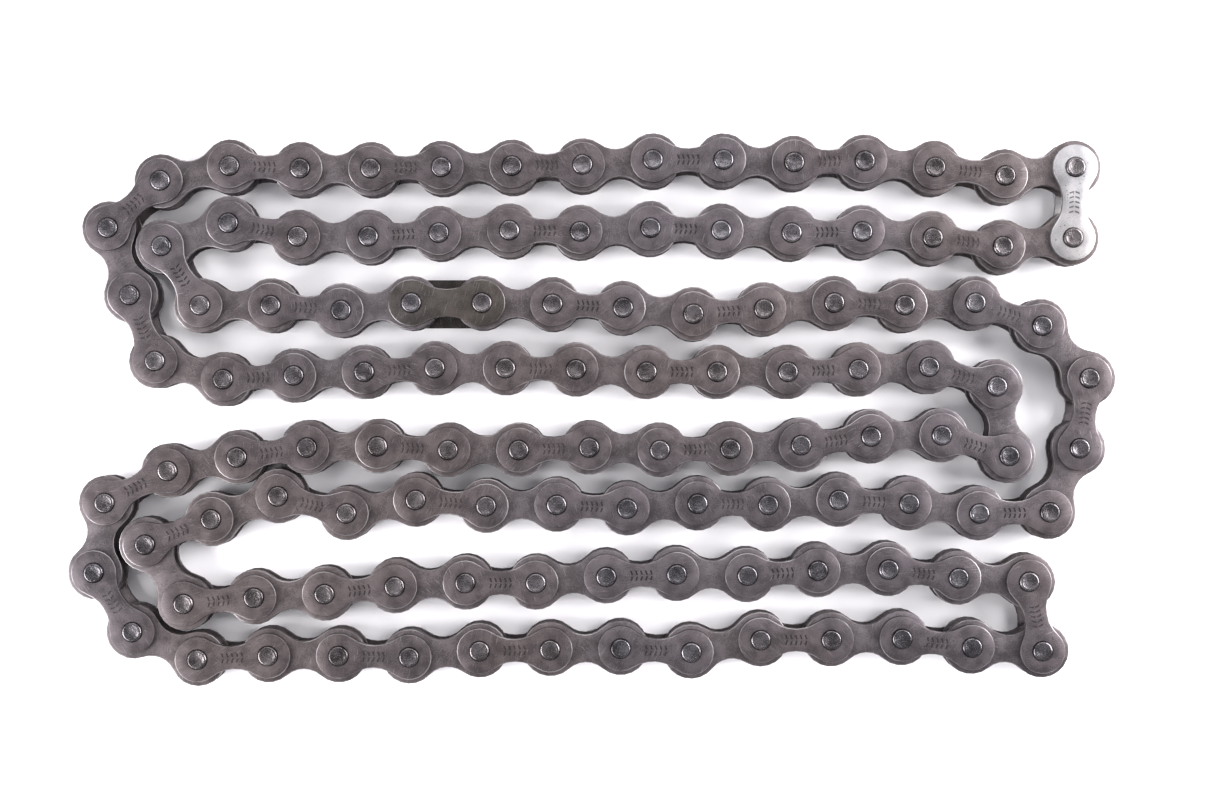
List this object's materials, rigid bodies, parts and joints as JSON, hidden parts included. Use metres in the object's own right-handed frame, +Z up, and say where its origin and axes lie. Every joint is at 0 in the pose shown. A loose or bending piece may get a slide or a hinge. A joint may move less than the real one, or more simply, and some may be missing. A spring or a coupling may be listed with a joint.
{
  "type": "roller chain",
  "caption": "Closed loop of light half-inch roller chain laid flat in rows, with waisted plates, pins, bushes, rollers and a spring-clip connecting link.",
  "frame": {"origin": "middle of the footprint, on the surface that the chain lies on", "axes": "+X along the rows, +Y across them, +Z up, along every pin"},
  "size_m": [0.189, 0.0998, 0.0093],
  "materials": {
    "outer_plate_steel": "fine matte grain, dark",
    "inner_plate_steel": "fine matte grain, dark",
    "pin_steel": "polished, peened ends",
    "bush_steel": "ground",
    "roller_steel": "ground, satin",
    "bright_plate_steel": "satin silver",
    "connecting_steel": "matte, warm brown tone",
    "clip_steel": "spring steel, satin"
  },
  "bodies": {
    "resting_chain": {"outer_plates": "outer_plate_steel", "inner_plates": "inner_plate_steel", "pins": "pin_steel", "bushes": "bush_steel", "rollers": "roller_steel", "connecting_plate": "connecting_steel", "connecting_pins": "pin_steel", "connecting_cover_plate": "connecting_steel"},
    "spring_clip": {"spring_clip": "clip_steel"},
    "link_08": {"link_08_inner_plates": "inner_plate_steel", "link_08_bushes": "bush_steel", "link_08_rollers": "roller_steel"},
    "link_09": {"link_09_outer_plates": "outer_plate_steel", "link_09_pins": "pin_steel"},
    "link_10": {"link_10_inner_plates": "inner_plate_steel", "link_10_bushes": "bush_steel", "link_10_rollers": "roller_steel"},
    "link_11": {"link_11_outer_plates": "outer_plate_steel", "link_11_pins": "pin_steel"},
    "link_12": {"link_12_inner_plates": "inner_plate_steel", "link_12_bushes": "bush_steel", "link_12_rollers": "roller_steel"},
    "link_13": {"link_13_outer_plates": "bright_plate_steel", "link_13_pins": "pin_steel"},
    "link_14": {"link_14_inner_plates": "inner_plate_steel", "link_14_bushes": "bush_steel", "link_14_rollers": "roller_steel"},
    "link_15": {"link_15_outer_plates": "outer_plate_steel", "link_15_pins": "pin_steel"},
    "link_16": {"link_16_inner_plates": "inner_plate_steel", "link_16_bushes": "bush_steel", "link_16_rollers": "roller_steel"},
    "link_17": {"link_17_outer_plates": "outer_plate_steel", "link_17_pins": "pin_steel"},
    "link_18": {"link_18_inner_plates": "inner_plate_steel", "link_18_bushes": "bush_steel", "link_18_rollers": "roller_steel"},
    "link_66": {"link_66_inner_plates": "inner_plate_steel", "link_66_bushes": "bush_steel"},
    "link_66_first_roller": {"link_66_first_roller": "roller_steel"},
    "link_66_second_roller": {"link_66_second_roller": "roller_steel"},
    "link_67": {"link_67_outer_plates": "outer_plate_steel", "link_67_pins": "pin_steel"},
    "link_68": {"link_68_inner_plates": "inner_plate_steel", "link_68_bushes": "bush_steel"},
    "link_68_first_roller": {"link_68_first_roller": "roller_steel"},
    "link_68_second_roller": {"link_68_second_roller": "roller_steel"},
    "link_69": {"link_69_outer_plates": "outer_plate_steel", "link_69_pins": "pin_steel"},
    "link_70": {"link_70_inner_plates": "inner_plate_steel", "link_70_bushes": "bush_steel"},
    "link_70_first_roller": {"link_70_first_roller": "roller_steel"},
    "link_70_second_roller": {"link_70_second_roller": "roller_steel"},
    "link_71": {"link_71_outer_plates": "outer_plate_steel", "link_71_pins": "pin_steel"},
    "link_72": {"link_72_inner_plates": "inner_plate_steel", "link_72_bushes": "bush_steel"},
    "link_72_first_roller": {"link_72_first_roller": "roller_steel"},
    "link_72_second_roller": {"link_72_second_roller": "roller_steel"}
  },
  "joints": [
    {"name": "top_end_curl", "type": "hinge", "parent": "resting_chain", "child": "link_08", "pos_m": [0.02373, 0.04494, 0.005], "axis": [0, 0, 1], "range_deg": [0, 5.5]},
    {"name": "link_09_turn", "type": "hinge", "parent": "link_08", "child": "link_09", "pos_m": [0.03642, 0.0445, 0.005], "axis": [0, 0, 1], "range_deg": [0, 5.5]},
    {"name": "link_10_turn", "type": "hinge", "parent": "link_09", "child": "link_10", "pos_m": [0.04912, 0.04472, 0.005], "axis": [0, 0, 1], "range_deg": [0, 5.5]},
    {"name": "link_11_turn", "type": "hinge", "parent": "link_10", "child": "link_11", "pos_m": [0.06177, 0.04361, 0.005], "axis": [0, 0, 1], "range_deg": [0, 5.5]},
    {"name": "link_12_turn", "type": "hinge", "parent": "link_11", "child": "link_12", "pos_m": [0.07437, 0.04206, 0.005], "axis": [0, 0, 1], "range_deg": [0, 5.5]},
    {"name": "link_13_turn", "type": "hinge", "parent": "link_12", "child": "link_13", "pos_m": [0.08698, 0.04361, 0.005], "axis": [0, 0, 1], "range_deg": [-27.5, 0]},
    {"name": "link_18_turn", "type": "hinge", "parent": "resting_chain", "child": "link_18", "pos_m": [0.02328, 0.03225, 0.005], "axis": [0, 0, 1], "range_deg": [0, 5.5]},
    {"name": "link_17_turn", "type": "hinge", "parent": "link_18", "child": "link_17", "pos_m": [0.03598, 0.0318, 0.005], "axis": [0, 0, 1], "range_deg": [0, 5.5]},
    {"name": "link_16_turn", "type": "hinge", "parent": "link_17", "child": "link_16", "pos_m": [0.04867, 0.03203, 0.005], "axis": [0, 0, 1], "range_deg": [0, 5.5]},
    {"name": "link_15_turn", "type": "hinge", "parent": "link_16", "child": "link_15", "pos_m": [0.06133, 0.03092, 0.005], "axis": [0, 0, 1], "range_deg": [0, 5.5]},
    {"name": "link_14_turn", "type": "hinge", "parent": "link_15", "child": "link_14", "pos_m": [0.07393, 0.02937, 0.005], "axis": [0, 0, 1], "range_deg": [0, 5.5]},
    {"name": "bottom_end_curl", "type": "hinge", "parent": "resting_chain", "child": "link_66", "pos_m": [0.04068, -0.02894, 0.005], "axis": [0, 0, -1], "range_deg": [0, 9]},
    {"name": "link_67_turn", "type": "hinge", "parent": "link_66", "child": "link_67", "pos_m": [0.05338, -0.02872, 0.005], "axis": [0, 0, -1], "range_deg": [0, 9]},
    {"name": "link_68_turn", "type": "hinge", "parent": "link_67", "child": "link_68", "pos_m": [0.06598, -0.03027, 0.005], "axis": [0, 0, -1], "range_deg": [0, 9]},
    {"name": "link_69_turn", "type": "hinge", "parent": "link_68", "child": "link_69", "pos_m": [0.07867, -0.03093, 0.005], "axis": [0, 0, -1], "range_deg": [-27, 0]},
    {"name": "link_72_turn", "type": "hinge", "parent": "resting_chain", "child": "link_72", "pos_m": [0.0431, -0.04141, 0.005], "axis": [0, 0, -1], "range_deg": [0, 9]},
    {"name": "link_71_turn", "type": "hinge", "parent": "link_72", "child": "link_71", "pos_m": [0.0558, -0.04118, 0.005], "axis": [0, 0, -1], "range_deg": [0, 9]},
    {"name": "link_70_turn", "type": "hinge", "parent": "link_71", "child": "link_70", "pos_m": [0.06841, -0.04273, 0.005], "axis": [0, 0, -1], "range_deg": [0, 9]},
    {"name": "link_66_first_roller_spin", "type": "hinge", "parent": "link_66", "child": "link_66_first_roller", "pos_m": [0.04068, -0.02894, 0.005], "axis": [0, 0, 1], "continuous": true},
    {"name": "link_66_second_roller_spin", "type": "hinge", "parent": "link_66", "child": "link_66_second_roller", "pos_m": [0.05338, -0.02872, 0.005], "axis": [0, 0, 1], "continuous": true},
    {"name": "link_68_first_roller_spin", "type": "hinge", "parent": "link_68", "child": "link_68_first_roller", "pos_m": [0.06598, -0.03027, 0.005], "axis": [0, 0, 1], "continuous": true},
    {"name": "link_68_second_roller_spin", "type": "hinge", "parent": "link_68", "child": "link_68_second_roller", "pos_m": [0.07867, -0.03093, 0.005], "axis": [0, 0, 1], "continuous": true},
    {"name": "link_70_first_roller_spin", "type": "hinge", "parent": "link_70", "child": "link_70_first_roller", "pos_m": [0.08109, -0.0434, 0.005], "axis": [0, 0, 1], "continuous": true},
    {"name": "link_70_second_roller_spin", "type": "hinge", "parent": "link_70", "child": "link_70_second_roller", "pos_m": [0.06841, -0.04273, 0.005], "axis": [0, 0, 1], "continuous": true},
    {"name": "link_72_first_roller_spin", "type": "hinge", "parent": "link_72", "child": "link_72_first_roller", "pos_m": [0.0558, -0.04118, 0.005], "axis": [0, 0, 1], "continuous": true},
    {"name": "link_72_second_roller_spin", "type": "hinge", "parent": "link_72", "child": "link_72_second_roller", "pos_m": [0.0431, -0.04141, 0.005], "axis": [0, 0, 1], "continuous": true},
    {"name": "clip_slide", "type": "slide", "parent": "resting_chain", "child": "spring_clip", "axis": [-1, 0, 0], "range_m": [0, 0.0031], "deforming": ["spring_clip"]}
  ],
  "couplings": [
    {"joint": "link_09_turn", "follows": "top_end_curl", "ratio": 1},
    {"joint": "link_10_turn", "follows": "top_end_curl", "ratio": 1},
    {"joint": "link_11_turn", "follows": "top_end_curl", "ratio": 1},
    {"joint": "link_12_turn", "follows": "top_end_curl", "ratio": 1},
    {"joint": "link_13_turn", "follows": "top_end_curl", "ratio": -5},
    {"joint": "link_18_turn", "follows": "top_end_curl", "ratio": 1},
    {"joint": "link_17_turn", "follows": "top_end_curl", "ratio": 1},
    {"joint": "link_16_turn", "follows": "top_end_curl", "ratio": 1},
    {"joint": "link_15_turn", "follows": "top_end_curl", "ratio": 1},
    {"joint": "link_14_turn", "follows": "top_end_curl", "ratio": 1},
    {"joint": "link_67_turn", "follows": "bottom_end_curl", "ratio": 1},
    {"joint": "link_68_turn", "follows": "bottom_end_curl", "ratio": 1},
    {"joint": "link_69_turn", "follows": "bottom_end_curl", "ratio": -3},
    {"joint": "link_72_turn", "follows": "bottom_end_curl", "ratio": 1},
    {"joint": "link_71_turn", "follows": "bottom_end_curl", "ratio": 1},
    {"joint": "link_70_turn", "follows": "bottom_end_curl", "ratio": 1}
  ]
}
